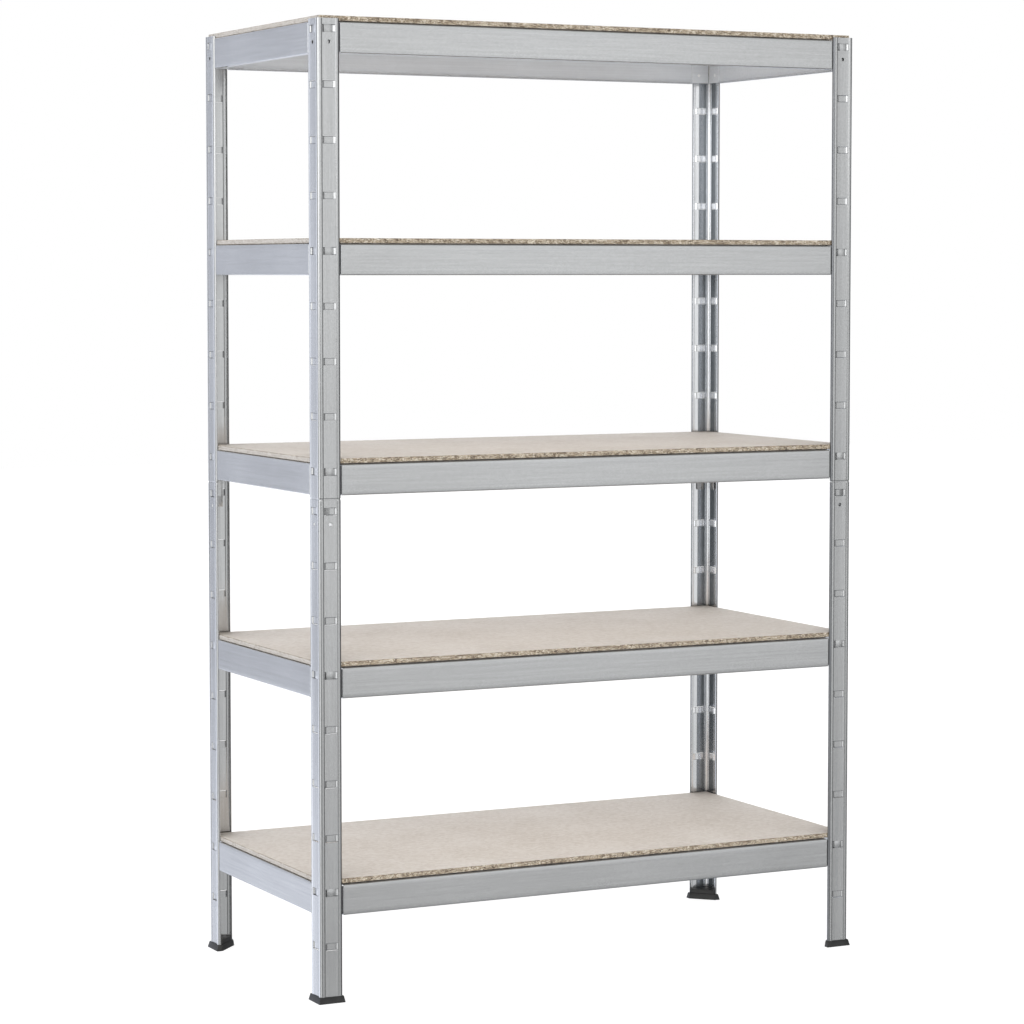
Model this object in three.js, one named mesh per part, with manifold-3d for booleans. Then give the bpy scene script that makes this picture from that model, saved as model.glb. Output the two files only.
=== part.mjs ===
// Boltless steel shelving: five chipboard shelves on hooked steel beams between four slotted corner posts.
// Millimetres, +Z up. The origin is on the floor, midway between the posts in both directions.
// Each post is two L-shaped sections, spliced by tongues. Every slot is a pocket: a window in the flange
// with a strip of the same sheet pressed inwards behind it. A beam's end runs behind the flange, and its
// hook drops into the pocket, between the flange and the strip.

import * as THREE from 'three';
import { mergeVertices } from 'three/addons/utils/BufferGeometryUtils.js';
import Module from 'manifold-3d';

// Whole rack, over the posts' outer faces
const WIDTH = 1140;
const DEPTH = 555;
const HEIGHT = 1800;
const GAP = 0.3; // between pieces that rest on each other

// Post sections: galvanised sheet bent to an L, with a shallow panel pressed into each flange
const SHEET = 1.0;
const FLANGE = 45;
const CORNER_CHAMFER = 1.2;
const PANEL_START = 7;
const PANEL_END = 38;
const PANEL_SLOPE = 1;
const PANEL_DEPTH = 0.8;
const LIP_DEPTH = 5;
const POST_TOP = 1795;
const POST_BOTTOM = 4.5;
const SPLICE_Z = 926.5;

// Slots, all centred on the flange
const SLOT_CENTRE = 22.5;
const SLOT_PITCH = 100;
const SLOTS_PER_SECTION = 9;
const FIRST_SLOT_BELOW_SPLICE = 22;
const WINDOW_WIDTH = 26;
const WINDOW_HEIGHT = 14;
const STRIP_HEIGHT = 13.6;
const STRIP_FLAT = 17;
const STRIP_OFFSET = 3;
const STRIP_OVERLAP = 0.5;
const HOLE_BELOW_FIRST_SLOT = 24;
const HOLE_RADIUS = 3;
const HOLE_SIDES = 10;

// Tongues and hooks share one plane, between the panel and the strip
const HOOK_FRONT = 2.3;
const HOOK_BACK = 3.3;
const HOOK_WIDTH = 16;
const SPLICE_TONGUE_BOTTOM = SPLICE_Z - 50;
const SPLICE_TONGUE_TOP = SPLICE_Z + 13;

// Beams: a web with a top flange that carries the board, and a small bottom lip
const BEAM_SHEET = 1.2;
const BEAM_HEIGHT = 58;
const WEB_FRONT = 2;
const END_FRONT = 5.3;
const END_START = 8;
const END_BEND = 46;
const WEB_START = 50;
const TOP_FLANGE = 24;
const TOP_FLANGE_RETURN = 6;
const BOTTOM_LIP = 10;
const BEAM_TOP_ABOVE_SLOT = 14.2;
const HOOK_BELOW_SLOT = 10;

// Boards
const BOARD_THICKNESS = 9;
const BOARD_INSET = 6;

// The top board's face is the rack's full height, which sets the first slot. The splice sets the lower ones.
const UPPER_FIRST_SLOT_Z = HEIGHT - BOARD_THICKNESS - GAP - BEAM_TOP_ABOVE_SLOT;
const LOWER_FIRST_SLOT_Z = SPLICE_Z - FIRST_SLOT_BELOW_SPLICE;

// Feet: a flared skirt around the end of the post, with a plug that stands up inside the L
const FOOT_FLOOR = POST_BOTTOM - GAP;
const FOOT_SKIRT_TOP = 12;
const FOOT_PLUG_TOP = 20;
const FOOT_PROUD_TOP = 1;
const FOOT_PROUD_BOTTOM = 4;
const FOOT_LENGTH_TOP = 46.4;
const FOOT_LENGTH_BOTTOM = 48.6;
const FOOT_NOSE = 8;

// Slots that carry a shelf, from the lowest shelf up
const SHELF_SLOT_Z = [
  LOWER_FIRST_SLOT_Z - 7 * SLOT_PITCH,
  LOWER_FIRST_SLOT_Z - 3 * SLOT_PITCH,
  UPPER_FIRST_SLOT_Z - 8 * SLOT_PITCH,
  UPPER_FIRST_SLOT_Z - 4 * SLOT_PITCH,
  UPPER_FIRST_SLOT_Z,
];

const SIDES = { left: -1, right: 1, front: -1, back: 1 };

const wasm = await Module();
wasm.setup();

// ---------------------------------------------------------------- shapes and joins

// A prism from an outline in X and Y, standing from z = low to z = high.
function prism(outline, low, high) {
  const shape = new THREE.Shape(outline.map(([x, y]) => new THREE.Vector2(x, y)));
  const geometry = new THREE.ExtrudeGeometry(shape, { depth: high - low, bevelEnabled: false });
  geometry.translate(0, 0, low);
  return geometry;
}

// A prism from an outline in Y and Z, running from x = low to x = high.
function prismAlongX(outline, low, high) {
  const geometry = prism(outline, low, high);
  const turn = new THREE.Matrix4().makeBasis(
    new THREE.Vector3(0, 1, 0),
    new THREE.Vector3(0, 0, 1),
    new THREE.Vector3(1, 0, 0),
  );
  return geometry.applyMatrix4(turn);
}

function block(xRange, yRange, zRange) {
  const size = [xRange, yRange, zRange].map(([low, high]) => high - low);
  const middle = [xRange, yRange, zRange].map(([low, high]) => (low + high) / 2);
  return new THREE.BoxGeometry(...size).translate(...middle);
}

function toSolid(geometry) {
  const bare = geometry.clone();
  bare.deleteAttribute('normal');
  bare.deleteAttribute('uv');
  const merged = mergeVertices(bare, 1e-4);
  const mesh = new wasm.Mesh({
    numProp: 3,
    vertProperties: new Float32Array(merged.attributes.position.array),
    triVerts: new Uint32Array(merged.index.array),
  });
  return new wasm.Manifold(mesh);
}

function toGeometry(solid) {
  const mesh = solid.getMesh();
  const geometry = new THREE.BufferGeometry();
  geometry.setAttribute('position', new THREE.BufferAttribute(new Float32Array(mesh.vertProperties), 3));
  geometry.setIndex(new THREE.BufferAttribute(new Uint32Array(mesh.triVerts), 1));
  return geometry;
}

// Adds and cuts a base geometry, in the order given.
function build(base, added, cut) {
  let solid = toSolid(base);
  for (const geometry of cut) {
    solid = solid.subtract(toSolid(geometry));
  }
  for (const geometry of added) {
    solid = solid.add(toSolid(geometry));
  }
  return toGeometry(solid);
}

// Mirrors a geometry by a matrix that flips its handedness, and turns its faces outwards again.
function reflect(geometry, matrix) {
  const bare = geometry.clone();
  bare.deleteAttribute('normal');
  bare.deleteAttribute('uv');
  const result = mergeVertices(bare, 1e-4).applyMatrix4(matrix);
  const index = result.index.array;
  for (let i = 0; i < index.length; i += 3) {
    [index[i], index[i + 1]] = [index[i + 1], index[i]];
  }
  return result;
}

// Swaps X and Y, which takes one flange of the L to the other.
const ACROSS_CORNER = new THREE.Matrix4().makeBasis(
  new THREE.Vector3(0, 1, 0),
  new THREE.Vector3(1, 0, 0),
  new THREE.Vector3(0, 0, 1),
);

function onBothFlanges(geometries) {
  return geometries.flatMap((geometry) => [geometry, reflect(geometry, ACROSS_CORNER)]);
}

// ---------------------------------------------------------------- posts
// A post is drawn with its outer corner on the Z axis and its flanges along +X and +Y.

function postOutline() {
  const panelFront = PANEL_DEPTH;
  const panelBack = PANEL_DEPTH + SHEET;
  const outerSide = [
    [CORNER_CHAMFER, 0],
    [PANEL_START, 0],
    [PANEL_START + PANEL_SLOPE, panelFront],
    [PANEL_END - PANEL_SLOPE, panelFront],
    [PANEL_END, 0],
    [FLANGE, 0],
    [FLANGE, LIP_DEPTH],
    [FLANGE - SHEET, LIP_DEPTH],
    [FLANGE - SHEET, SHEET],
    [PANEL_END, SHEET],
    [PANEL_END - PANEL_SLOPE, panelBack],
    [PANEL_START + PANEL_SLOPE, panelBack],
    [PANEL_START, SHEET],
    [SHEET, SHEET],
  ];
  const otherFlange = outerSide
    .slice(0, -1)
    .reverse()
    .map(([x, y]) => [y, x]);
  return [...outerSide, ...otherFlange];
}

function slotWindow(z) {
  const halfWidth = WINDOW_WIDTH / 2;
  const halfHeight = WINDOW_HEIGHT / 2;
  return block(
    [SLOT_CENTRE - halfWidth, SLOT_CENTRE + halfWidth],
    [-SHEET, PANEL_DEPTH + 2 * SHEET],
    [z - halfHeight, z + halfHeight],
  );
}

// The strip pressed inwards behind a window: flat in the middle, sloping back to the panel at both ends.
function slotStrip(z) {
  const end = WINDOW_WIDTH / 2;
  const flat = STRIP_FLAT / 2;
  const root = end + STRIP_OVERLAP;
  const front = PANEL_DEPTH + STRIP_OFFSET;
  const halfFront = [
    [root, PANEL_DEPTH],
    [end, PANEL_DEPTH],
    [flat, front],
  ];
  const halfBack = [
    [flat + 0.4 * SHEET, front + SHEET],
    [end - 0.4 * SHEET, PANEL_DEPTH + SHEET],
    [root, PANEL_DEPTH + SHEET],
  ];
  const outline = [
    ...halfFront.map(([x, y]) => [SLOT_CENTRE - x, y]),
    ...halfFront.toReversed().map(([x, y]) => [SLOT_CENTRE + x, y]),
    ...halfBack.toReversed().map(([x, y]) => [SLOT_CENTRE + x, y]),
    ...halfBack.map(([x, y]) => [SLOT_CENTRE - x, y]),
  ];
  return prism(outline, z - STRIP_HEIGHT / 2, z + STRIP_HEIGHT / 2);
}

function smallHole(z) {
  const hole = new THREE.CylinderGeometry(HOLE_RADIUS, HOLE_RADIUS, 4 * SHEET, HOLE_SIDES);
  return hole.translate(SLOT_CENTRE, PANEL_DEPTH, z);
}

// The tongue under an upper section. It leaves the panel's back and goes down behind the lower section.
function spliceTongue() {
  const outline = [
    [PANEL_DEPTH + SHEET - 0.1, SPLICE_TONGUE_TOP],
    [PANEL_DEPTH + SHEET - 0.1, SPLICE_Z + 3],
    [HOOK_FRONT, SPLICE_Z + 2],
    [HOOK_FRONT, SPLICE_TONGUE_BOTTOM],
    [HOOK_BACK, SPLICE_TONGUE_BOTTOM],
    [HOOK_BACK, SPLICE_Z + 5],
    [HOOK_FRONT, SPLICE_TONGUE_TOP],
  ];
  return prismAlongX(outline, SLOT_CENTRE - HOOK_WIDTH / 2, SLOT_CENTRE + HOOK_WIDTH / 2);
}

function postSection(bottom, top, firstSlotZ, tongues) {
  const slots = Array.from({ length: SLOTS_PER_SECTION }, (_, i) => firstSlotZ - i * SLOT_PITCH);
  const cut = [...slots.map(slotWindow), smallHole(firstSlotZ - HOLE_BELOW_FIRST_SLOT)];
  const added = [...slots.map(slotStrip), ...tongues];
  return build(prism(postOutline(), bottom, top), onBothFlanges(added), onBothFlanges(cut));
}

// ---------------------------------------------------------------- feet
// Drawn like a post: outer corner on the Z axis, arms along +X and +Y.

function footOutline(proud, length) {
  return [
    [-proud, -proud],
    [length, -proud],
    [length, FOOT_NOSE],
    [FOOT_NOSE, length],
    [-proud, length],
  ];
}

// A closed solid between two outlines with the same number of points.
function loft(lower, lowerZ, upper, upperZ) {
  const count = lower.length;
  const points = [
    ...lower.map(([x, y]) => [x, y, lowerZ]),
    ...upper.map(([x, y]) => [x, y, upperZ]),
  ];
  const faces = [];
  for (let i = 0; i < count; i += 1) {
    const next = (i + 1) % count;
    faces.push([i, next, count + next], [i, count + next, count + i]);
  }
  for (let i = 1; i < count - 1; i += 1) {
    faces.push([0, i + 1, i], [count, count + i, count + i + 1]);
  }
  const geometry = new THREE.BufferGeometry();
  geometry.setAttribute('position', new THREE.Float32BufferAttribute(points.flat(), 3));
  geometry.setIndex(faces.flat());
  return geometry;
}

function foot() {
  const skirt = loft(
    footOutline(FOOT_PROUD_BOTTOM, FOOT_LENGTH_BOTTOM),
    0,
    footOutline(FOOT_PROUD_TOP, FOOT_LENGTH_TOP),
    FOOT_SKIRT_TOP,
  );
  const inside = FLANGE - SHEET - GAP;
  const plugOutline = [
    [SHEET, SHEET],
    [inside, SHEET],
    [inside, FOOT_NOSE],
    [FOOT_NOSE, inside],
    [SHEET, inside],
  ];
  const plug = prism(plugOutline, FOOT_FLOOR / 2, FOOT_PLUG_TOP);
  const clear = [FOOT_FLOOR, FOOT_PLUG_TOP + GAP];
  const sheetChannel = block([-GAP, FLANGE + GAP], [-GAP, PANEL_DEPTH + SHEET + GAP], clear);
  const lipChannel = block([FLANGE - SHEET - GAP, FLANGE + GAP], [-GAP, LIP_DEPTH + GAP], clear);
  const added = toGeometry(toSolid(skirt).add(toSolid(plug)));
  return build(added, [], onBothFlanges([sheetChannel, lipChannel]));
}

// ---------------------------------------------------------------- beams
// Drawn along X and centred, with the post's outer face at y = 0 and the beam's top at z = 0.

function beam(span) {
  const half = span / 2;
  const webHalf = half - WEB_START;
  const halfFront = [
    [half - END_START, END_FRONT],
    [half - END_BEND, END_FRONT],
    [webHalf, WEB_FRONT],
  ];
  const bendShift = 0.4;
  const halfBack = [
    [half - END_START, END_FRONT + BEAM_SHEET],
    [half - END_BEND - bendShift, END_FRONT + BEAM_SHEET],
    [webHalf - bendShift, WEB_FRONT + BEAM_SHEET],
  ];
  const plan = [
    ...halfFront.map(([x, y]) => [-x, y]),
    ...halfFront.toReversed(),
    ...halfBack,
    ...halfBack.toReversed().map(([x, y]) => [-x, y]),
  ];
  const web = prism(plan, -BEAM_HEIGHT, 0);
  const along = [-webHalf, webHalf];
  const flangeBack = WEB_FRONT + TOP_FLANGE;
  const topFlange = block(along, [WEB_FRONT, flangeBack], [-BEAM_SHEET, 0]);
  const topReturn = block(along, [flangeBack - BEAM_SHEET, flangeBack], [-TOP_FLANGE_RETURN, 0]);
  const lipBack = WEB_FRONT + BOTTOM_LIP;
  const bottomLip = block(along, [WEB_FRONT, lipBack], [-BEAM_HEIGHT, BEAM_SHEET - BEAM_HEIGHT]);
  const hooks = [-1, 1].map((side) => beamHook(side * (half - SLOT_CENTRE)));
  return build(web, [topFlange, topReturn, bottomLip, ...hooks], []);
}

// A hook: a ledge that rests on the strip's top edge, and a tongue down between the panel and the strip.
function beamHook(x) {
  const slot = -BEAM_TOP_ABOVE_SLOT;
  const rest = slot + STRIP_HEIGHT / 2 + GAP;
  const outline = [
    [HOOK_FRONT, slot - HOOK_BELOW_SLOT],
    [HOOK_BACK, slot - HOOK_BELOW_SLOT],
    [HOOK_BACK, rest],
    [END_FRONT + 0.2, rest],
    [END_FRONT + 0.2, rest + 2.4],
    [HOOK_FRONT, rest + 1.2],
  ];
  return prismAlongX(outline, x - HOOK_WIDTH / 2, x + HOOK_WIDTH / 2);
}

// ---------------------------------------------------------------- materials and placing

const galvanised = new THREE.MeshStandardMaterial({ color: 0xb6b9be, roughness: 0.42, metalness: 0.85 });
const chipboard = new THREE.MeshStandardMaterial({ color: 0xcdc5b9, roughness: 0.7, metalness: 0 });
const blackPlastic = new THREE.MeshStandardMaterial({ color: 0x1b1b1d, roughness: 0.5, metalness: 0 });

const rack = new THREE.Group();

function place(name, geometry, material, position, turn = 0) {
  const mesh = new THREE.Mesh(geometry, material);
  mesh.name = name;
  mesh.position.set(...position);
  mesh.rotation.z = turn;
  rack.add(mesh);
  return mesh;
}

// Puts a corner piece at a corner, mirrored so that its two arms run inwards from there.
function placeAtCorner(name, geometry, material, sideX, sideY) {
  const mesh = place(name, geometry, material, [(sideX * WIDTH) / 2, (sideY * DEPTH) / 2, 0]);
  mesh.scale.set(-sideX, -sideY, 1);
}

const upperSection = postSection(SPLICE_Z + GAP / 2, POST_TOP, UPPER_FIRST_SLOT_Z, [spliceTongue()]);
const lowerSection = postSection(POST_BOTTOM, SPLICE_Z - GAP / 2, LOWER_FIRST_SLOT_Z, []);
const cornerFoot = foot();

for (const depthSide of ['front', 'back']) {
  for (const widthSide of ['left', 'right']) {
    const sides = [SIDES[widthSide], SIDES[depthSide]];
    const corner = `${depthSide}_${widthSide}`;
    placeAtCorner(`post_upper_${corner}`, upperSection, galvanised, ...sides);
    placeAtCorner(`post_lower_${corner}`, lowerSection, galvanised, ...sides);
    placeAtCorner(`foot_${corner}`, cornerFoot, blackPlastic, ...sides);
  }
}

const longBeam = beam(WIDTH);
const shortBeam = beam(DEPTH);
const board = new THREE.BoxGeometry(WIDTH - 2 * BOARD_INSET, DEPTH - 2 * BOARD_INSET, BOARD_THICKNESS);

SHELF_SLOT_Z.forEach((slotZ, index) => {
  const level = index + 1;
  const top = slotZ + BEAM_TOP_ABOVE_SLOT;
  place(`beam_front_${level}`, longBeam, galvanised, [0, -DEPTH / 2, top]);
  place(`beam_back_${level}`, longBeam, galvanised, [0, DEPTH / 2, top], Math.PI);
  place(`beam_left_${level}`, shortBeam, galvanised, [-WIDTH / 2, 0, top], -Math.PI / 2);
  place(`beam_right_${level}`, shortBeam, galvanised, [WIDTH / 2, 0, top], Math.PI / 2);
  place(`shelf_board_${level}`, board, chipboard, [0, 0, top + GAP + BOARD_THICKNESS / 2]);
});

export default rack;
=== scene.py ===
"""Boltless steel shelving: galvanised posts and beams, chipboard boards and plastic feet."""

import math
import bmesh
import bpy
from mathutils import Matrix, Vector


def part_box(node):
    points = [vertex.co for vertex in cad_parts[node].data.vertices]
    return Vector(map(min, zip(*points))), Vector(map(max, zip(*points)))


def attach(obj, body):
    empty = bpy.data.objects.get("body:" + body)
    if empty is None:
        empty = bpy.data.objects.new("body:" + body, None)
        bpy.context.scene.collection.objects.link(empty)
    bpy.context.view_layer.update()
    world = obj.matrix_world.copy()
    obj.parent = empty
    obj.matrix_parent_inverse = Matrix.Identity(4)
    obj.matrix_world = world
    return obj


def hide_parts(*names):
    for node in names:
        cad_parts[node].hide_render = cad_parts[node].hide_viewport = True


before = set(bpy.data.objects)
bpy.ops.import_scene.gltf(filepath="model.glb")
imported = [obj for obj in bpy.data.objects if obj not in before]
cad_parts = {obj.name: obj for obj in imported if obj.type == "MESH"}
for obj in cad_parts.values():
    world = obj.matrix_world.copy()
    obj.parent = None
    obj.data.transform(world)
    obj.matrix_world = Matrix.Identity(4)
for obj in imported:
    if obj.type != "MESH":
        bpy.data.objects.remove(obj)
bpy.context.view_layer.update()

MM = 0.001
CREASE_ANGLE = 38

# Post sections (millimetres, measured from the post's outer corner, as in the CAD model)
SHEET = 1.0
FLANGE = 45.0
CORNER_RADIUS = 6.5
EDGE_WIDTH = 5.6
EDGE_DEPTH = 5.0
LIP_DEPTH = 5.2
# Where the painted shade along the first flange's free edge begins
PAINTED_EDGE_SHADE_START = 41.6
PANEL_START = 9.2
PANEL_END = 36.9
PANEL_SLOPE = 1.4
EDGE_SLOPE = 1.4
PANEL_RIM = 1.3
PANEL_EDGE_RIM = 0.6
PANEL_SAG = 0.25
SLOT_CENTRE = 22.5
SLOT_PITCH = 100.0
SLOTS_PER_SECTION = 9
UPPER_FIRST_SLOT = 18.5
LOWER_FIRST_SLOT = 21.85
WINDOW_CENTRE = 23.6
WINDOW_HALF_WIDTH = 12.6
WINDOW_HALF_HEIGHT = 7.0
STRIP_HALF_HEIGHT = 6.75
STRIP_HALF_FLAT = 8.8
STRIP_OFFSET = 2.7
STRIP_RIM = 1.3
HOLE_BELOW_FIRST_SLOT = 24.0
HOLE_RADIUS = 3.3
HOLE_BEND = 0.3
HOLE_COLLAR = 0.9
HOLE_PATCH_HALF = 4.0
SPLICE_GAP = 0.3
SPLICE_RELIEF = 0.65
SPLICE_CURL = 0.6
SPLICE_CURL_HEIGHT = 1.3
SUPPORT_ROW = 0.8
SLEEVE_HALF_HEIGHT = 6.0
SLEEVE_INSET = 1.05
SLEEVE_SHEET = 0.5

# Hooks and tongues (millimetres, depth measured from the face of the flange or beam they belong to)
BUTTON_BELOW_HOLE = 872.0
BUTTON_RADIUS = 3.0
BUTTON_STEPS = 12
TONGUE_FRONT = 3.9
TONGUE_BACK = 4.8
TONGUE_TOP = 12.0
HOOK_FRONT = 2.4
HOOK_BACK = 3.3
HOOK_HALF_WIDTH = 8.0
HOOK_CLEARANCE = 0.3
CUT_EDGE_BEVEL = 0.25

# Beams (millimetres, depth measured from the posts' outer face, height down from the beam's top)
BEAM_SHEET = 1.2
BEAM_HEIGHT = 58.0
BEAM_BEND = 2.0
RETURN_BEND = 1.5
BEND_SUPPORT = 1.2
WEB_ROWS = 8
WEB_FRONT = 2.0
END_FRONT = 5.3
END_START = 8.0
END_BEND = 45.2
WEB_START = 47.8
TOP_FLANGE_BACK = 26.0
FRONT_LEDGE_DROP = 1.9
SIDE_LEDGE_DROP = 0.6
LEDGE_BACK = 13.0
TOP_RETURN = 6.0
LIP_BACK = 12.0
SLOT_BELOW_TOP = 14.2
HOOK_BELOW_SLOT = 10.0
MARK_RADIUS = 3.4
MARK_BELOW_TOP = 40.0
MARK_FROM_CORNER = 31.0
MARK_STEPS = 14

# Boards (millimetres)
BOARD_BEVEL = 0.7

# Feet (millimetres, measured from the post's outer corner)
FOOT_SKIRT_TOP = 12.0
FOOT_PLUG_TOP = 20.0
FOOT_PROUD_TOP = 1.0
FOOT_PROUD_BOTTOM = 4.0
FOOT_LENGTH_TOP = 46.4
FOOT_LENGTH_BOTTOM = 48.6
FOOT_NOSE = 8.0
FOOT_BEVEL = 0.8
PLUG_START = 2.1
PLUG_CLEARANCE = 0.6

CORNERS = [(depth, width) for depth in ("front", "back") for width in ("left", "right")]
SIDES = ("front", "back", "left", "right")
LEVELS = range(1, 6)


# ---------------------------------------------------------------- mesh helpers


class Sheet:
    """Collects faces by their corner points, in a piece's own millimetres, and each face's material index."""

    def __init__(self):
        self.faces = []

    def face(self, *points, material=0):
        self.faces.append((points, material))

    def mesh(self, name, place, mirrored):
        bm = bmesh.new()
        for points, material in self.faces:
            corners = [bm.verts.new(place(point)) for point in points]
            if mirrored:
                corners.reverse()
            bm.faces.new(corners).material_index = material
        bmesh.ops.remove_doubles(bm, verts=bm.verts, dist=1e-6)
        bmesh.ops.dissolve_degenerate(bm, dist=1e-7, edges=bm.edges)
        mesh = bpy.data.meshes.new(name)
        bm.to_mesh(mesh)
        bm.free()
        return mesh


def baked(obj, *modifiers):
    """Applies modifiers, given as (type, settings), and shades the result smooth with sharp creases."""
    for kind, settings in modifiers:
        modifier = obj.modifiers.new(kind.title(), kind)
        for key, value in settings.items():
            setattr(modifier, key, value)
    bpy.context.view_layer.update()
    graph = bpy.context.evaluated_depsgraph_get()
    mesh = bpy.data.meshes.new_from_object(obj.evaluated_get(graph))
    obj.modifiers.clear()
    old = obj.data
    obj.data = mesh
    bpy.data.meshes.remove(old)
    mesh.shade_smooth()
    mesh.set_sharp_from_angle(angle=math.radians(CREASE_ANGLE))
    return obj


def bevel(width, segments, **settings):
    """A bevel for baked, of a width in millimetres, along every clear edge."""
    return "BEVEL", {"width": width * MM, "segments": segments, "limit_method": "ANGLE", **settings}


def solidify(thickness, **settings):
    """A sheet's thickness for baked, in millimetres, added behind the outer face."""
    return "SOLIDIFY", {"thickness": thickness * MM, "offset": -1, **settings}


def new_object(name, mesh, material):
    obj = bpy.data.objects.new(name, mesh)
    bpy.context.scene.collection.objects.link(obj)
    mesh.materials.append(material)
    return obj


def stand_for(obj, node, body):
    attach(obj, body)
    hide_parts(node)


def join_into(obj, *others):
    """Adds the faces of other objects to obj and removes them."""
    materials = obj.data.materials
    bm = bmesh.new()
    bm.from_mesh(obj.data)
    for other in others:
        material = other.data.materials[0]
        if material.name not in materials:
            materials.append(material)
        start = len(bm.faces)
        bm.from_mesh(other.data)
        bm.faces.ensure_lookup_table()
        for face in bm.faces[start:]:
            face.material_index = materials.find(material.name)
        bpy.data.objects.remove(other)
    bm.to_mesh(obj.data)
    bm.free()


def arc(centre, radius, start, end, steps):
    """Points on an arc, in degrees, both ends included."""
    angles = [math.radians(start + (end - start) * i / steps) for i in range(steps + 1)]
    return [(centre[0] + radius * math.cos(a), centre[1] + radius * math.sin(a)) for a in angles]


def smooth_step(t):
    t = min(max(t, 0.0), 1.0)
    return t * t * (3 - 2 * t)


# ---------------------------------------------------------------- posts


def panel_depth(a):
    """Depth of the pressed panel at a millimetres from the corner: a clear step, then slowly shallower."""
    across = min(max((a - PANEL_START) / (PANEL_END - PANEL_START), 0.0), 1.0)
    rise = smooth_step((a - PANEL_START + PANEL_SLOPE) / (2 * PANEL_SLOPE))
    fall = smooth_step((PANEL_END + EDGE_SLOPE - a) / (2 * EDGE_SLOPE))
    floor = PANEL_RIM + (PANEL_EDGE_RIM - PANEL_RIM) * across + PANEL_SAG * 4 * across * (1 - across)
    return min(rise, fall) * floor


def slot_offsets():
    """Places across a slot, from its centre, close together on the slopes at the strip's two ends."""
    slope = WINDOW_HALF_WIDTH - STRIP_HALF_FLAT
    right = [2.0, 4.0, 6.5] + [STRIP_HALF_FLAT + slope * i / 5 for i in range(6)]
    return [-x for x in reversed(right)] + [0.0] + right


def flange_profile():
    """(a, b) points across a flange's outer face, from the middle of the corner's bend to the lip's edge."""
    bend = arc((CORNER_RADIUS, CORNER_RADIUS), CORNER_RADIUS, 225, 270, 6)
    steps = (-1.2, -1.0, -0.6, -0.2, 0.2, 0.6, 1.0)
    across = [PANEL_START + PANEL_SLOPE * step for step in steps]
    across += [WINDOW_CENTRE + x for x in slot_offsets()]
    across += [PANEL_END - EDGE_SLOPE * step for step in steps if step > -1.1]
    across.sort()
    across = [a for i, a in enumerate(across) if i == 0 or a - across[i - 1] > 0.05]
    turn = [math.pi / 2 * step / 8 for step in range(9)]
    edge = [(FLANGE - EDGE_WIDTH * (1 - math.sin(t)), EDGE_DEPTH * (1 - math.cos(t))) for t in turn]
    return bend + [(a, panel_depth(a)) for a in across] + edge + [(FLANGE, LIP_DEPTH)]


def inset_profile(distance):
    """The flange's profile moved inwards, at a right angle to itself."""
    outside = flange_profile()
    inside = []
    for i, (a, b) in enumerate(outside):
        before, after = outside[max(i - 1, 0)], outside[min(i + 1, len(outside) - 1)]
        along = Vector((after[0] - before[0], after[1] - before[1])).normalized() * distance
        inside.append((a - along.y, b + along.x))
    inside[0] = (sum(inside[0]) / 2, sum(inside[0]) / 2)
    return inside


def strip_depth(a):
    """How far a slot's strip is pressed in behind the panel."""
    slope = WINDOW_HALF_WIDTH - STRIP_HALF_FLAT
    return STRIP_OFFSET * smooth_step((WINDOW_HALF_WIDTH - abs(a - WINDOW_CENTRE)) / slope)


def hole_patch(z):
    """The faces of a square patch of the panel round a small pressed hole with a short collar."""
    half = HOLE_PATCH_HALF
    side = [-half, -half / 2, 0.0, half / 2]
    square = [(x, -half) for x in side]
    square += [(half, x) for x in side]
    square += [(-x, half) for x in side]
    square += [(-half, -x) for x in side]
    rings = [(None, 0.0), (HOLE_RADIUS + HOLE_BEND, 0.0), (HOLE_RADIUS, 0.25), (HOLE_RADIUS, HOLE_COLLAR)]

    def point(step, ring):
        x, y = square[step % len(square)]
        radius, depth = rings[ring]
        if radius is not None:
            length = math.hypot(x, y)
            x, y = x * radius / length, y * radius / length
        return (WINDOW_CENTRE + x, panel_depth(WINDOW_CENTRE + x) + depth, z + y)

    return [
        [point(step, ring), point(step + 1, ring), point(step + 1, ring + 1), point(step, ring + 1)]
        for step in range(len(square))
        for ring in range(len(rings) - 1)
    ]


# Material indices of a post's outer faces. The inner shell takes the next index, and cut edges the one after,
# in dark steel that is partly painted shade. The second index is painted shade: a dark band along the free
# edge and dark rims round the slots' strips.
PLAIN = 0
PAINTED_SHADE = 2
PANEL = 3


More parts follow.
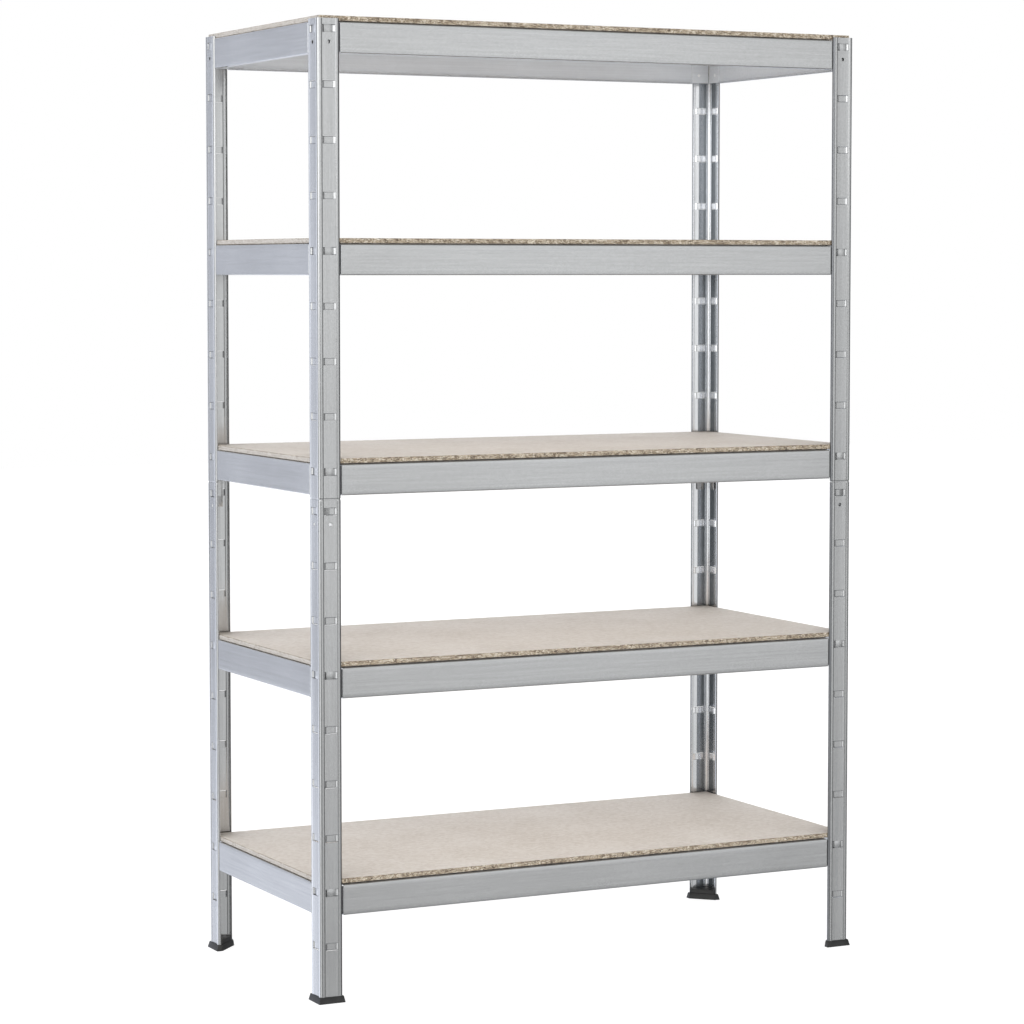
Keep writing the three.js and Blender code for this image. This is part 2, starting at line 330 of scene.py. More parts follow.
def flange_faces(sheet, low, high, slots, hole_z, curled_end, second):
    """One flange, its curled end slightly drawn in. The second is the first one with X and Y swapped."""
    profile = flange_profile()
    curled = inset_profile(SPLICE_CURL)
    inwards = math.copysign(1.0, (low + high) / 2 - curled_end)
    rows = {low, high}
    rows.update(curled_end + inwards * (SPLICE_CURL_HEIGHT + extra) for extra in (0.0, SUPPORT_ROW))
    rows.update(z + side * WINDOW_HALF_HEIGHT for z in slots for side in (-1, 0, 1))
    rows.update(z + side * (WINDOW_HALF_HEIGHT - STRIP_RIM) for z in slots for side in (-1, 1))
    rows.update(hole_z + step * HOLE_PATCH_HALF / 2 for step in range(-2, 3))
    rows = sorted(rows)

    def swap(point):
        a, b, z = point
        return (b, a, z) if second else point

    def add(corners, material=PLAIN):
        corners = [swap(corner) for corner in corners]
        sheet.face(*(reversed(corners) if second else corners), material=material)

    for i, ((a0, b0), (a1, b1)) in enumerate(zip(profile, profile[1:])):
        middle = (a0 + a1) / 2
        in_window = abs(middle - WINDOW_CENTRE) < WINDOW_HALF_WIDTH
        in_patch = abs(middle - WINDOW_CENTRE) < HOLE_PATCH_HALF
        for z0, z1 in zip(rows, rows[1:]):
            centre = (z0 + z1) / 2
            if in_patch and abs(centre - hole_z) < HOLE_PATCH_HALF:
                continue
            slot = min(slots, key=lambda z: abs(z - centre))
            if in_window and abs(centre - slot) < WINDOW_HALF_HEIGHT:
                corners = [(a0, b0, z0), (a1, b1, z0), (a1, b1, z1), (a0, b0, z1)]
                # The rims of each slot's strip are painted shade, a dark outline round the slot.
                on_rim = abs(centre - slot) > WINDOW_HALF_HEIGHT - STRIP_RIM
                add([strip_point(a, b, z, slot) for a, b, z in corners], PAINTED_SHADE if on_rim else PLAIN)
            else:
                (p0, q0), (p1, q1) = (curled if z0 == curled_end else profile)[i:i + 2]
                (r0, t0), (r1, t1) = (curled if z1 == curled_end else profile)[i:i + 2]
                # The panel's faces are marked so that the back right post's inner panel can take painted
                # shade.
                finish = PANEL if PANEL_START < middle < WINDOW_CENTRE + HOLE_PATCH_HALF else PLAIN
                # Painted shade: a dark band along the first flange's free edge, standing in for the shade
                # there.
                if middle > PAINTED_EDGE_SHADE_START and not second:
                    finish = PAINTED_SHADE
                add([(p0, q0, z0), (p1, q1, z0), (r1, t1, z1), (r0, t0, z1)], finish)
    for corners in hole_patch(hole_z):
        add(corners)


def strip_point(a, b, z, slot):
    """A point of a slot's strip. Its upper and lower edges are cut free of the panel between its two ends."""
    depth = strip_depth(a)
    if depth > 0 and abs(z - slot) > STRIP_HALF_HEIGHT:
        z = slot + math.copysign(STRIP_HALF_HEIGHT, z - slot)
    return (a, b + depth, z)


def corner_place(corner, depth_side, width_side):
    """Turns a corner piece's millimetres into metres at its post's outer corner."""
    inward_x = 1 if width_side == "left" else -1
    inward_y = 1 if depth_side == "front" else -1

    def place(point):
        a, b, z = point
        return Vector((corner[0] + inward_x * a * MM, corner[1] + inward_y * b * MM, z * MM))

    return place, inward_x * inward_y < 0


def prism_faces(sheet, outline, low, high, along):
    """A closed prism. outline is drawn in two axes and along(point, position) gives its place."""
    front = [along(point, low) for point in outline]
    back = [along(point, high) for point in outline]
    count = len(outline)
    for i in range(count):
        j = (i + 1) % count
        sheet.face(front[i], front[j], back[j], back[i])
    sheet.face(*reversed(front))
    sheet.face(*back)


def build_post(depth_side, width_side, section, top, bottom):
    """One section of a post, of folded sheet. An upper one also carries what joins it to the lower one."""
    name = f"post_{section}_{depth_side}_{width_side}"
    low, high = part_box(name)
    corner = (low.x if width_side == "left" else high.x, low.y if depth_side == "front" else high.y)
    place, mirrored = corner_place(corner, depth_side, width_side)
    first = high.z / MM - (UPPER_FIRST_SLOT if section == "upper" else LOWER_FIRST_SLOT)
    slots = [first - SLOT_PITCH * i for i in range(SLOTS_PER_SECTION)]
    hole_z = first - HOLE_BELOW_FIRST_SLOT
    sheet = Sheet()
    for second in (False, True):
        curled_end = (bottom if section == "upper" else top) / MM
        flange_faces(sheet, bottom / MM, top / MM, slots, hole_z, curled_end, second)
    obj = new_object("galvanised_" + name, sheet.mesh(name, place, mirrored), steel["z"])
    # The back right post's inner side has painted light and painted shade: a lighter tint all over, and a
    # darker panel.
    painted_light_and_shade = depth_side == "back" and width_side == "right"
    inside, inside_panel = ("post_inner_painted_light", "post_inner_painted_shade") if painted_light_and_shade else ("post_inner", "post_inner")
    for finish in (inside, "cut_edge_and_painted_shade", "z", inside_panel):
        obj.data.materials.append(steel[finish])
    baked(obj, solidify(SHEET, use_even_offset=True, material_offset=1, material_offset_rim=2))
    if section == "upper":
        tongues, buttons, sleeve = Sheet(), Sheet(), Sheet()
        for second in (False, True):
            tongue_faces(tongues, bottom / MM, low.z / MM, second)
            button_faces(buttons, hole_z - BUTTON_BELOW_HOLE, second)
            sleeve_faces(sleeve, bottom / MM, second)
        tongues = new_object("tongues", tongues.mesh("tongues", place, mirrored), steel["z"])
        baked(tongues, bevel(CUT_EDGE_BEVEL, 2))
        # The buttons of the left posts take a matt finish as painted light, those of the right posts dark
        # steel as painted shade.
        finish = steel["matt_painted_light" if width_side == "left" else "cut_edge_and_painted_shade"]
        buttons = new_object("buttons", buttons.mesh("buttons", place, mirrored), finish)
        baked(buttons)
        sleeve = new_object("sleeve", sleeve.mesh("sleeve", place, mirrored), steel["z"])
        baked(sleeve, solidify(SLEEVE_SHEET))
        join_into(obj, tongues, sleeve, buttons)
    stand_for(obj, name, "posts")


def tongue_faces(sheet, splice, tip, second):
    """The tongue behind a flange's lower end: it leaves the panel's back and goes into the next section."""
    panel_back = PANEL_RIM + PANEL_SAG + SHEET - 0.2
    outline = [
        (panel_back, splice + TONGUE_TOP),
        (panel_back, splice + 3.0),
        (TONGUE_FRONT, splice + 1.5),
        (TONGUE_FRONT, tip),
        (TONGUE_BACK, tip),
        (TONGUE_BACK, splice + 4.5),
        (TONGUE_FRONT, splice + TONGUE_TOP),
    ]

    def along(point, a):
        b, z = point
        return (b, a, z) if second else (a, b, z)

    if second:
        outline.reverse()
    prism_faces(sheet, outline, SLOT_CENTRE - HOOK_HALF_WIDTH, SLOT_CENTRE + HOOK_HALF_WIDTH, along)


def button_faces(sheet, z, second):
    """The tongue's round locating button, which fills the small hole of the section below."""
    rings = [(BUTTON_RADIUS, TONGUE_FRONT), (BUTTON_RADIUS, 1.6), (BUTTON_RADIUS * 0.8, 1.1), (1.0, 0.8)]
    steps = range(BUTTON_STEPS)

    def point(ring, step):
        radius, depth = rings[ring]
        angle = 2 * math.pi * step / BUTTON_STEPS
        a, up = WINDOW_CENTRE + radius * math.cos(angle), z + radius * math.sin(angle)
        return (depth, a, up) if second else (a, depth, up)

    for step in steps:
        for ring in range(len(rings) - 1):
            corners = [point(ring, step), point(ring + 1, step)]
            corners += [point(ring + 1, step + 1), point(ring, step + 1)]
            sheet.face(*(reversed(corners) if second else corners))
    for ring in (0, len(rings) - 1):
        lid = [point(ring, step) for step in steps]
        sheet.face(*(reversed(lid) if second == (ring > 0) else lid))


def sleeve_faces(sheet, splice, second):
    """The outer face of a thin sleeve that sits inside the joint of the two sections."""
    inside = inset_profile(SLEEVE_INSET)
    low, high = splice - SLEEVE_HALF_HEIGHT, splice + SLEEVE_HALF_HEIGHT
    for (a0, b0), (a1, b1) in zip(inside, inside[1:]):
        corners = [(a0, b0, low), (a1, b1, low), (a1, b1, high), (a0, b0, high)]
        if second:
            corners = [(b, a, z) for a, b, z in reversed(corners)]
        sheet.face(*corners)


# ---------------------------------------------------------------- beams


def beam_sections(drop):
    """(depth, height) points round a beam's outer face: return and top flange, then web, then bottom lip."""
    radius = BEAM_BEND
    back = TOP_FLANGE_BACK
    top = [(back, -TOP_RETURN)] + arc((back - RETURN_BEND, -RETURN_BEND), RETURN_BEND, 0, 90, 3)
    top += [(LEDGE_BACK + 1.0, 0.0), (LEDGE_BACK, -drop)]
    top += arc((WEB_FRONT + radius, -radius - drop), radius, 90, 180, 6)
    span = BEAM_HEIGHT - 2 * radius - drop
    web = [(WEB_FRONT, -radius - drop - span * i / WEB_ROWS) for i in range(WEB_ROWS + 1)]
    bottom = arc((WEB_FRONT + radius, radius - BEAM_HEIGHT), radius, 180, 270, 6)
    bottom += [(LIP_BACK, -BEAM_HEIGHT)]
    return top, web, bottom


def end_depth(from_end):
    """Depth of the web's face at a distance from the post's outer face. The end goes behind the flange."""
    rise = smooth_step((WEB_START - from_end) / (WEB_START - END_BEND))
    return WEB_FRONT + (END_FRONT - WEB_FRONT) * rise


def beam_faces(sheet, half, drop):
    """The whole section between the posts, and the web alone at each end."""
    top, web, bottom = beam_sections(drop)
    section = top[:-1] + web + bottom[1:]
    full = [half - WEB_START, half - WEB_START - BEND_SUPPORT, half / 2, 0.0]
    full += [-u for u in reversed(full[:-1])]
    for u0, u1 in zip(full, full[1:]):
        for (d0, h0), (d1, h1) in zip(section, section[1:]):
            sheet.face((u1, d0, h0), (u1, d1, h1), (u0, d1, h1), (u0, d0, h0))
    steps = [END_START, 30.0, END_BEND - BEND_SUPPORT]
    steps += [END_BEND + (WEB_START - END_BEND) * i / 6 for i in range(7)]
    for side in (-1, 1):
        for s0, s1 in zip(steps, steps[1:]):
            for (_, h0), (_, h1) in zip(web, web[1:]):
                corners = [
                    (side * (half - s0), end_depth(s0), h0),
                    (side * (half - s0), end_depth(s0), h1),
                    (side * (half - s1), end_depth(s1), h1),
                    (side * (half - s1), end_depth(s1), h0),
                ]
                sheet.face(*(corners if side < 0 else reversed(corners)))


def hook_faces(sheet, half):
    """The hook at each end: it stands off the end's face and points down, behind the post's flange."""
    slot = -SLOT_BELOW_TOP
    rest = slot + STRIP_HALF_HEIGHT + HOOK_CLEARANCE
    outline = [
        (HOOK_FRONT, slot - HOOK_BELOW_SLOT),
        (HOOK_BACK, slot - HOOK_BELOW_SLOT),
        (HOOK_BACK, rest),
        (END_FRONT + 0.2, rest),
        (END_FRONT + 0.2, rest + 2.4),
        (HOOK_FRONT, rest + 1.2),
    ]

    def along(point, u):
        return (u, *point)

    for side in (-1, 1):
        centre = side * (half - SLOT_CENTRE)
        prism_faces(sheet, outline, centre - HOOK_HALF_WIDTH, centre + HOOK_HALF_WIDTH, along)


def press_mark_faces(sheet, half):
    """The low round bump that the press leaves on the inner face of each end of the beam."""
    back = END_FRONT + BEAM_SHEET
    rings = [(MARK_RADIUS, back - 0.1), (MARK_RADIUS * 0.85, back + 0.5), (MARK_RADIUS * 0.45, back + 0.85)]
    steps = range(MARK_STEPS)

    def point(ring, step):
        radius, depth = rings[ring]
        angle = 2 * math.pi * step / MARK_STEPS
        return (centre + radius * math.cos(angle), depth, radius * math.sin(angle) - MARK_BELOW_TOP)

    for side in (-1, 1):
        centre = side * (half - MARK_FROM_CORNER)
        for step in steps:
            for ring in range(len(rings) - 1):
                corners = [point(ring, step), point(ring, step + 1)]
                sheet.face(*corners, point(ring + 1, step + 1), point(ring + 1, step))
        sheet.face(*[point(len(rings) - 1, step) for step in steps])
        sheet.face(*[point(0, step) for step in reversed(steps)])


def beam_place(side, low, high):
    """Place of a beam's own millimetres (along, depth, height) and half its span over the posts."""
    if side in ("front", "back"):
        half = (high.x - low.x) / 2 / MM + END_START
        face = low.y - WEB_FRONT * MM if side == "front" else high.y + WEB_FRONT * MM
    else:
        half = (high.y - low.y) / 2 / MM + END_START
        face = low.x - WEB_FRONT * MM if side == "left" else high.x + WEB_FRONT * MM
    inward = 1 if side in ("front", "left") else -1

    def place(point):
        u, depth, height = (value * MM for value in point)
        if side in ("front", "back"):
            return Vector((inward * u, face + inward * depth, high.z + height))
        return Vector((face + inward * depth, -inward * u, high.z + height))

    return half, place


def build_beam(side, level):
    """A beam of folded sheet, with painted light making its inner face paler, and its hooks and press marks.
    """
    name = f"beam_{side}_{level}"
    half, place = beam_place(side, *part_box(name))
    metal = steel["x" if side in ("front", "back") else "y"]
    sheet = Sheet()
    beam_faces(sheet, half, FRONT_LEDGE_DROP if side in ("front", "back") else SIDE_LEDGE_DROP)
    obj = new_object("galvanised_" + name, sheet.mesh(name, place, False), metal)
    # The inner face's paler finish is painted light.
    obj.data.materials.append(steel["inner"])
    baked(obj, solidify(BEAM_SHEET, use_even_offset=True, material_offset=1))
    hooks, marks = Sheet(), Sheet()
    hook_faces(hooks, half)
    hooks = new_object("hooks", hooks.mesh("hooks", place, False), metal)
    press_mark_faces(marks, half)
    # The press marks' near-white finish is a painted highlight.
    marks = new_object("press_marks", marks.mesh("press_marks", place, False), steel["painted_highlight"])
    join_into(obj, baked(hooks, bevel(CUT_EDGE_BEVEL, 2)), baked(marks))
    stand_for(obj, name, f"level_{level}")


# ---------------------------------------------------------------- boards and feet


def build_board(level):
    """A board with softened edges. Its faces, long edges and short edges each have a finish."""
    name = f"shelf_board_{level}"
    low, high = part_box(name)
    centre = (low + high) / 2
    size = high - low
    bm = bmesh.new()
    bmesh.ops.create_cube(bm, size=1.0)
    for vertex in bm.verts:
        vertex.co = Vector(centre[i] + vertex.co[i] * size[i] for i in range(3))
    for face in bm.faces:
        face.material_index = 0 if abs(face.normal.z) > 0.5 else 1 if abs(face.normal.y) > 0.5 else 2
    mesh = bpy.data.meshes.new(name)
    bm.to_mesh(mesh)
    bm.free()
    obj = new_object("chipboard_" + name, mesh, chipboard_face)
    mesh.materials.append(chipboard_edge)
    mesh.materials.append(chipboard_side)
    baked(obj, bevel(BOARD_BEVEL, 3, material=1))
    stand_for(obj, name, f"board_{level}")


def foot_outline(proud, length):
    """The foot's L-like outline: a square with its inner corner cut off, proud of the post all round."""
    return [(-proud, -proud), (length, -proud), (length, FOOT_NOSE), (FOOT_NOSE, length), (-proud, length)]


def ring_faces(sheet, below, above, low, high):
    """The faces between two outlines of the same number of points, one at each height."""
    for i in range(len(below)):
        j = (i + 1) % len(below)
        sheet.face((*below[i], low), (*below[j], low), (*above[j], high), (*above[i], high))


def build_foot(depth_side, width_side):
    """A flared skirt under the post's end, closed below, and the plug that stands inside the post."""
    name = f"foot_{depth_side}_{width_side}"
    low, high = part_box(name)
    proud = FOOT_PROUD_BOTTOM * MM
    corner = (
        low.x + proud if width_side == "left" else high.x - proud,
        low.y + proud if depth_side == "front" else high.y - proud,
    )
    place, mirrored = corner_place(corner, depth_side, width_side)
    sheet = Sheet()
    lower = foot_outline(FOOT_PROUD_BOTTOM, FOOT_LENGTH_BOTTOM)
    upper = foot_outline(FOOT_PROUD_TOP, FOOT_LENGTH_TOP)
    plug = foot_outline(-PLUG_START, FLANGE - SHEET - PLUG_CLEARANCE)
    ring_faces(sheet, lower, upper, 0, FOOT_SKIRT_TOP)
    sheet.face(*[(*point, 0) for point in reversed(lower)])
    ring_faces(sheet, upper, plug, FOOT_SKIRT_TOP, FOOT_SKIRT_TOP)
    ring_faces(sheet, plug, plug, FOOT_SKIRT_TOP, FOOT_PLUG_TOP)
    sheet.face(*[(*point, FOOT_PLUG_TOP) for point in plug])
    obj = new_object("plastic_" + name, sheet.mesh(name, place, mirrored), plastic)
    baked(obj, bevel(FOOT_BEVEL, 3))
    stand_for(obj, name, "posts")


# ---------------------------------------------------------------- materials


class Nodes:
    """A node tree, with short calls for adding and linking nodes."""

    def __init__(self, owner):
        owner.use_nodes = True
        self.owner = owner
        self.tree = owner.node_tree
        self.shader = self.tree.nodes.get("Principled BSDF")

    def add(self, kind, inputs=None, **settings):
        node = self.tree.nodes.new(kind)
        for key, value in settings.items():
            setattr(node, key, value)
        for key, value in (inputs or {}).items():
            self.put(node.inputs[key], value)
        return node

    def put(self, socket, value):
        if isinstance(value, bpy.types.NodeSocket):
            self.tree.links.new(value, socket)
        else:
            socket.default_value = value

    def place(self, scale=(1, 1, 1)):
        coordinates = self.add("ShaderNodeTexCoord").outputs["Object"]
        return self.add("ShaderNodeMapping", {"Vector": coordinates, "Scale": scale}).outputs["Vector"]

    def noise(self, vector, scale, detail=2.0, roughness=0.5):
        inputs = {"Vector": vector, "Scale": scale, "Detail": detail, "Roughness": roughness}
        return self.add("ShaderNodeTexNoise", inputs).outputs["Fac"]

    def flakes(self, vector, scale):
        """A level from 0 to 1 that is the same all over each small flake or chip."""
        cells = self.add("ShaderNodeTexVoronoi", {"Vector": vector, "Scale": scale}).outputs["Color"]
        return self.add("ShaderNodeSeparateColor", {"Color": cells}).outputs[0]

    def maths(self, operation, first, second=0.0):
        return self.add("ShaderNodeMath", {0: first, 1: second}, operation=operation).outputs[0]

    def remap(self, value, low, high, to_low, to_high):
        inputs = {"Value": value, "From Min": low, "From Max": high, "To Min": to_low, "To Max": to_high}
        return self.add("ShaderNodeMapRange", inputs).outputs["Result"]

    def mix(self, factor, first, second, blend="MIX"):
        node = self.add("ShaderNodeMix", data_type="RGBA", blend_type=blend)
        for index, value in ((0, factor), (6, first), (7, second)):
            self.put(node.inputs[index], value)
        return node.outputs[2]

    def ramp(self, value, stops):
        node = self.add("ShaderNodeValToRGB", {"Fac": value})
        elements = node.color_ramp.elements
        while len(elements) < len(stops):
            elements.new(0.5)
        for element, (position, colour) in zip(elements, stops):
            element.position = position
            element.color = colour
        return node.outputs["Color"]

    def bump(self, height, strength, distance):
        inputs = {"Height": height, "Strength": strength, "Distance": distance}
        self.put(self.shader.inputs["Normal"], self.add("ShaderNodeBump", inputs).outputs["Normal"])


def grey(value):
    return (value, value, value, 1.0)


def opaque(*colours):
    """Colours with full opacity, from (red, green, blue) triples."""
    return [(*colour, 1.0) for colour in colours]


def make_steel(name, along, tint, metallic, polish):
    """Galvanised sheet: soft zinc spangle, rolling streaks along one axis, and a cloudy, uneven polish."""
    n = Nodes(bpy.data.materials.new(name))
    stretch = [40.0, 40.0, 40.0]
    stretch["xyz".index(along)] = 0.9
    streaks = n.noise(n.place(stretch), 6.0, 4.0, 0.6)
    place = n.place()
    cloud = n.noise(place, 5.0, 3.0)
    flake = n.flakes(place, 130.0)
    level = n.maths("ADD", n.remap(streaks, 0.3, 0.7, -0.05, 0.05), n.remap(cloud, 0.3, 0.7, -0.035, 0.035))
    level = n.maths("ADD", level, n.remap(flake, 0.0, 1.0, -0.012, 0.012))
    tone = n.maths("ADD", level, 1.0)
    channels = [n.maths("MULTIPLY", tone, channel) for channel in tint]
    colour = n.add("ShaderNodeCombineColor", dict(enumerate(channels))).outputs[0]
    n.put(n.shader.inputs["Base Color"], colour)
    n.shader.inputs["Metallic"].default_value = metallic
    n.put(n.shader.inputs["Roughness"], n.remap(cloud, 0.3, 0.7, polish - 0.03, polish + 0.03))
    n.bump(streaks, 0.02, 0.0003)
    return n.owner


def make_chipboard_face():
    """Sanded face: fine pale chips pressed flat, hardly darker than the glue and dust between them."""
    n = Nodes(bpy.data.materials.new("chipboard_face"))
    place = n.place()
    chip = n.flakes(place, 160.0)
    cloud = n.noise(place, 6.0, 3.0)
    tone = n.maths("ADD", n.remap(chip, 0.0, 1.0, -0.5, 0.5), n.remap(cloud, 0.3, 0.7, -0.3, 0.3))
    colour = n.ramp(n.remap(tone, -1.0, 1.0, 0.0, 1.0), list(zip((0.0, 0.5, 1.0), FACE_CHIPS)))
    n.put(n.shader.inputs["Base Color"], colour)
    n.put(n.shader.inputs["Roughness"], n.remap(chip, 0.0, 1.0, 0.62, 0.78))
    n.bump(chip, 0.1, 0.0003)
    return n.owner


def make_chipboard_edge(name, colours, void):
    """Sawn edge: chips lying flat, in a range of wood colours, with small dark voids between them."""
    n = Nodes(bpy.data.materials.new(name))
    place = n.place((1.0, 1.0, 1.7))
    chip = n.flakes(place, 520.0)
    patches = n.noise(place, 90.0, 2.0)
    mixed = n.maths("ADD", chip, n.remap(patches, 0.3, 0.7, -0.2, 0.2))
    voids = n.noise(place, 500.0, 2.0)
    colour = n.ramp(mixed, list(zip((0.0, 0.28, 0.62, 1.0), colours)))
    colour = n.mix(n.remap(voids, 0.32, 0.45, void, 0.0), colour, VOID_COLOUR)
    n.put(n.shader.inputs["Base Color"], colour)
    n.shader.inputs["Roughness"].default_value = 0.85
    n.bump(n.maths("ADD", chip, voids), 0.5, 0.0008)
    return n.owner


def make_plastic():
    """Moulded black plastic with a fine, slightly uneven skin."""
    n = Nodes(bpy.data.materials.new("black_plastic"))
    place = n.place()
    grain = n.noise(place, 900.0, 2.0)
    scuff = n.noise(place, 60.0, 4.0)
    n.put(n.shader.inputs["Base Color"], n.ramp(scuff, [(0.3, grey(0.010)), (0.7, grey(0.022))]))
    n.put(n.shader.inputs["Roughness"], n.remap(scuff, 0.3, 0.7, 0.38, 0.55))
    n.bump(grain, 0.15, 0.0002)
    return n.owner


# Tints of the steel's finishes
STEEL_TINT = (0.55, 0.555, 0.56)
# The beams' inner tint is paler than the steel: painted light.
INNER_PAINTED_LIGHT_TINT = (0.72, 0.75, 0.79)
# The matt tint is painted light on the left posts' buttons.
MATT_PAINTED_LIGHT_TINT = (0.50, 0.51, 0.52)
# A lighter and a darker copy of the steel: painted light and painted shade on the back right post's inner
# side.
PAINTED_LIGHT_TINT = (0.82, 0.83, 0.85)
PAINTED_SHADE_TINT = (0.38, 0.40, 0.42)
# Dark steel for cut edges, and for painted shade on the posts' free edges, slot rims and right-hand buttons.
CUT_EDGE_AND_PAINTED_SHADE_TINT = (0.22, 0.225, 0.235)
# A near-white tint: a painted highlight on the beams' press marks.
PAINTED_HIGHLIGHT_TINT = (0.93, 0.95, 0.97)
# The finishes: the direction of rolling, the tint, how metallic it is and how rough
FINISHES = {
    "x": ("x", STEEL_TINT, 0.88, 0.21),
    "y": ("y", STEEL_TINT, 0.88, 0.21),
    "z": ("z", STEEL_TINT, 0.88, 0.21),
    "post_inner": ("z", STEEL_TINT, 0.97, 0.15),
    "post_inner_painted_light": ("z", PAINTED_LIGHT_TINT, 0.97, 0.15),
    "post_inner_painted_shade": ("z", PAINTED_SHADE_TINT, 0.97, 0.2),
    "matt_painted_light": ("z", MATT_PAINTED_LIGHT_TINT, 0.1, 0.45),
    "cut_edge_and_painted_shade": ("z", CUT_EDGE_AND_PAINTED_SHADE_TINT, 0.88, 0.32),
    "painted_highlight": ("z", PAINTED_HIGHLIGHT_TINT, 0.1, 0.35),
    "inner": ("x", INNER_PAINTED_LIGHT_TINT, 0.15, 0.42),
}
# Chip colours from dark to light, for the boards' faces, long edges and short edges
FACE_CHIPS = opaque((0.53, 0.47, 0.41), (0.635, 0.583, 0.53), (0.72, 0.68, 0.635))
FRONT_CHIPS = opaque((0.055, 0.038, 0.024), (0.16, 0.118, 0.078), (0.31, 0.255, 0.186), (0.53, 0.49, 0.41))
SIDE_CHIPS = opaque((0.285, 0.255, 0.225), (0.375, 0.35, 0.32), (0.43, 0.405, 0.38), (0.49, 0.47, 0.45))
VOID_COLOUR = (0.03, 0.02, 0.012, 1.0)

steel = {name: make_steel(f"galvanised_steel_{name}", *finish) for name, finish in FINISHES.items()}
chipboard_face = make_chipboard_face()
chipboard_edge = make_chipboard_edge("chipboard_edge", FRONT_CHIPS, 0.8)
chipboard_side = make_chipboard_edge("chipboard_side", SIDE_CHIPS, 0.25)
plastic = make_plastic()


# ---------------------------------------------------------------- the rack


def build_rack():
    """Every piece, in place of its CAD node."""
    for depth_side, width_side in CORNERS:
        corner = f"{depth_side}_{width_side}"
        upper_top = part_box(f"post_upper_{corner}")[1].z
        lower_bottom, lower_top = (point.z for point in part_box(f"post_lower_{corner}"))
        relief = SPLICE_RELIEF * MM
        build_post(depth_side, width_side, "upper", upper_top, lower_top + SPLICE_GAP * MM + relief)
        build_post(depth_side, width_side, "lower", lower_top - relief, lower_bottom)
        build_foot(depth_side, width_side)
    for level in LEVELS:
        for side in SIDES:
            build_beam(side, level)
        build_board(level)


# ---------------------------------------------------------------- floor, light and camera


def add_floor():
    """A pale floor with a faint glow of its own, so that it fades into the white surroundings."""
    bpy.ops.mesh.primitive_plane_add(size=30.0, location=(0, 0, 0))
    floor = bpy.context.active_object
    floor.name = "floor"
    n = Nodes(bpy.data.materials.new("pale_floor"))
    n.shader.inputs["Base Color"].default_value = (0.4, 0.4, 0.4, 1.0)
    n.shader.inputs["Roughness"].default_value = 0.9
    n.shader.inputs["Specular IOR Level"].default_value = 0.0
    n.shader.inputs["Emission Color"].default_value = (1.0, 1.0, 1.0, 1.0)
    n.shader.inputs["Emission Strength"].default_value = 0.75
    floor.data.materials.append(n.owner)
    floor.visible_glossy = False
    floor.visible_diffuse = False


def add_area_light(name, location, target, size, power):
    """A rectangular soft light that faces its target."""
    data = bpy.data.lights.new(name, "AREA")
    data.shape = "RECTANGLE"
    data.size, data.size_y = size
    data.energy = power
    light = bpy.data.objects.new(name, data)
    light.location = location
    aim = Vector(target) - Vector(location)
    light.rotation_euler = aim.to_track_quat("-Z", "Y").to_euler()
    bpy.context.scene.collection.objects.link(light)


# Brightness of the surroundings seen in the steel, by bearing in degrees: 0 is in front of the rack, 90 on
# its left, 180 behind it and -90 on its right.
AROUND = [
    (-180, 1.5),
    (-160, 0.9),
    (-145, 0.6),
    (-130, 0.3),
    (-110, 0.22),
    (-64, 0.18),
    (-55, 0.25),
    (-47, 0.6),
    (-40, 0.75),
    (-34, 0.8),
    (-31.6, 0.84),
    (-28, 1.3),
    (-24.7, 0.9),
    (-18, 1.0),
    (-12, 0.95),
    (-4, 0.74),
    (12, 0.48),
    (40, 0.42),
    (50, 1.6),
    (58, 1.8),
    (76, 1.7),
    (84, 0.5),
    (92, 0.25),
    (112, 0.7),
    (122, 1.6),
    (138, 1.6),
    (147, 1.0),
    (153, 0.98),
    (158, 0.75),
    (162, 0.62),
    (170, 1.05),
    (180, 1.5),
]
# Its change with height, in front and behind: -1 is straight down and 1 straight up.
FRONT_HEIGHT = [
    (-1.0, 0.2),
    (-0.6, 0.3),
    (-0.3, 0.45),
    (-0.19, 0.56),
    (-0.12, 0.88),
    (-0.06, 0.87),
    (0.0, 0.95),
    (0.07, 1.03),
    (0.3, 0.8),
    (1.0, 0.5),
]
BACK_HEIGHT = [
    (-1.0, 0.9),
    (-0.5, 1.2),
    (-0.19, 1.35),
    (-0.12, 0.82),
    (-0.06, 0.98),
    (0.0, 1.06),
    (0.07, 0.9),
    (0.3, 0.8),
    (1.0, 0.5),
]
# The soft light on everything, from left to right and by height. Most comes in low, between the shelves.
FILL_SIDE = [(-1.0, 0.8), (-0.3, 0.98), (0.1, 1.12), (0.9, 0.62), (1.0, 0.62)]
FILL = [(-1.0, 1.4), (-0.05, 1.4), (0.03, 3.4), (0.3, 3.4), (0.6, 0.8), (1.0, 0.45)]


def level_ramp(n, value, table, low, high):
    """A grey ramp through a table of (place, brightness) pairs, for places from low to high."""
    stops = [((at - low) / (high - low), grey(level)) for at, level in table]
    return n.ramp(n.remap(value, low, high, 0.0, 1.0), stops)


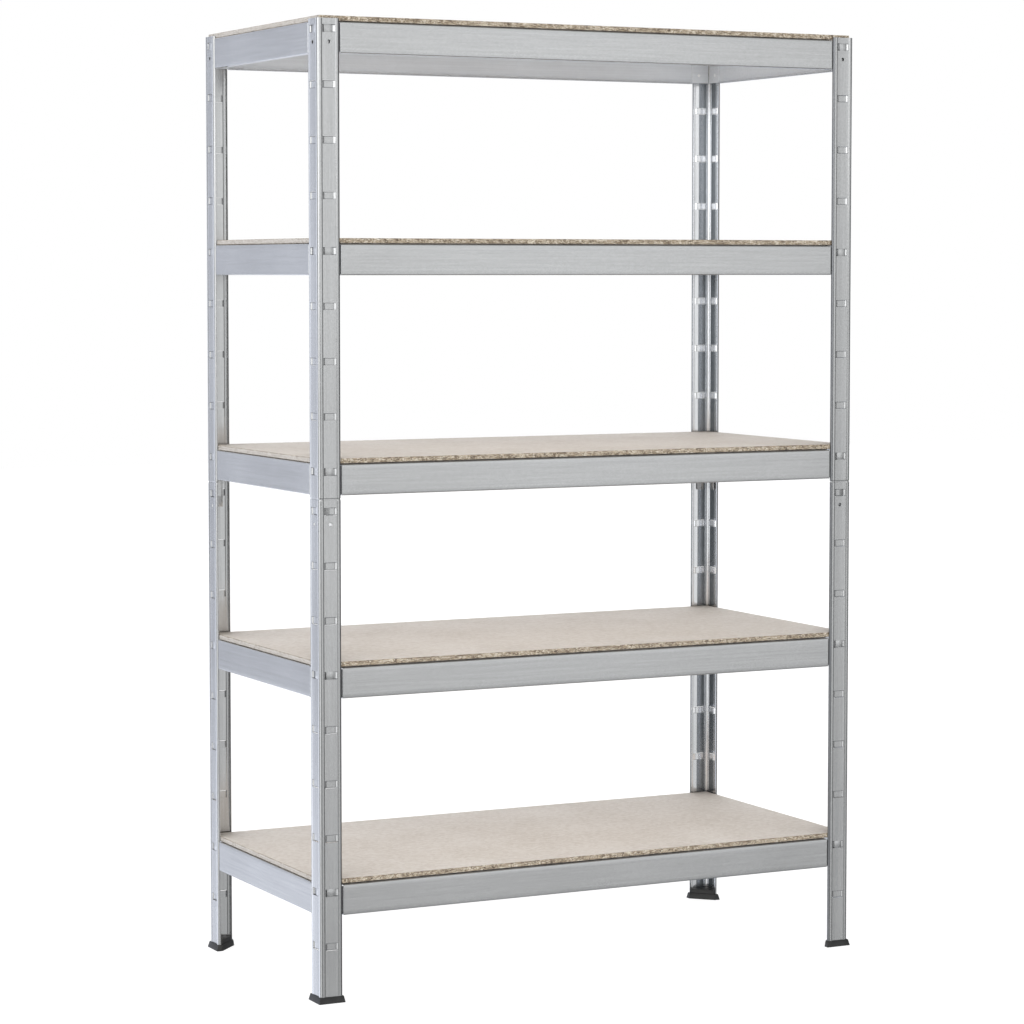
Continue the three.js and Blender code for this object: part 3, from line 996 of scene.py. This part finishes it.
def set_world():
    """White behind the rack, a banded studio in the steel's reflections, and a soft fill for the rest."""
    world = bpy.data.worlds.new("studio")
    bpy.context.scene.world = world
    n = Nodes(world)
    n.tree.nodes.clear()
    direction = n.add("ShaderNodeTexCoord").outputs["Generated"]
    split = n.add("ShaderNodeSeparateXYZ", {0: direction})
    x, y, z = (split.outputs[axis] for axis in "XYZ")
    left, ahead = (n.maths("MULTIPLY", axis, -1.0) for axis in (x, y))
    bearing = n.maths("MULTIPLY", n.maths("ARCTAN2", left, ahead), math.degrees(1.0))
    around = level_ramp(n, bearing, AROUND, -180, 180)
    front = level_ramp(n, z, FRONT_HEIGHT, -1, 1)
    back = level_ramp(n, z, BACK_HEIGHT, -1, 1)
    height = n.mix(n.remap(y, -0.15, 0.15, 0.0, 1.0), front, back)
    cool = n.mix(n.remap(y, -0.3, 0.6, 0.0, 1.0), (0.99, 1.0, 1.0, 1.0), (0.92, 0.96, 1.07, 1.0))
    studio = n.mix(1.0, n.mix(1.0, around, height, "MULTIPLY"), cool, "MULTIPLY")
    glow = n.add("ShaderNodeBackground", {"Color": studio, "Strength": 1.0})
    fill_side = level_ramp(n, x, FILL_SIDE, -1, 1)
    fill = n.add("ShaderNodeBackground", {"Color": level_ramp(n, z, FILL, -1, 1), "Strength": fill_side})
    plain = n.add("ShaderNodeBackground", {"Color": (1.0, 1.0, 1.0, 1.0), "Strength": 1.0})
    path = n.add("ShaderNodeLightPath").outputs
    lit = n.add("ShaderNodeMixShader", {0: path["Is Diffuse Ray"], 1: glow.outputs[0], 2: fill.outputs[0]})
    mixed = n.add("ShaderNodeMixShader", {0: path["Is Camera Ray"], 1: lit.outputs[0], 2: plain.outputs[0]})
    n.add("ShaderNodeOutputWorld", {"Surface": mixed.outputs[0]})


def add_camera():
    """In front of the rack and to its left, a little below eye height, looking slightly down."""
    data = bpy.data.cameras.new("camera")
    data.sensor_width = 36.0
    data.lens = 111.3
    data.shift_y = -0.039
    data.clip_end = 100.0
    camera = bpy.data.objects.new("camera", data)
    camera.location = (-2.830, -5.546, 1.343)
    turn = math.radians(26.72)
    pitch = math.radians(3.66)
    camera.rotation_euler = (math.pi / 2 - pitch, 0.0, -turn)
    bpy.context.scene.collection.objects.link(camera)
    bpy.context.scene.camera = camera


bpy.context.scene.view_settings.view_transform = "Standard"
bpy.context.scene.view_settings.look = "None"

build_rack()
add_floor()
set_world()
add_area_light("key", (-3.2, -4.6, 3.6), (0, 0, 0.9), (7.0, 5.0), 110.0)
add_camera()
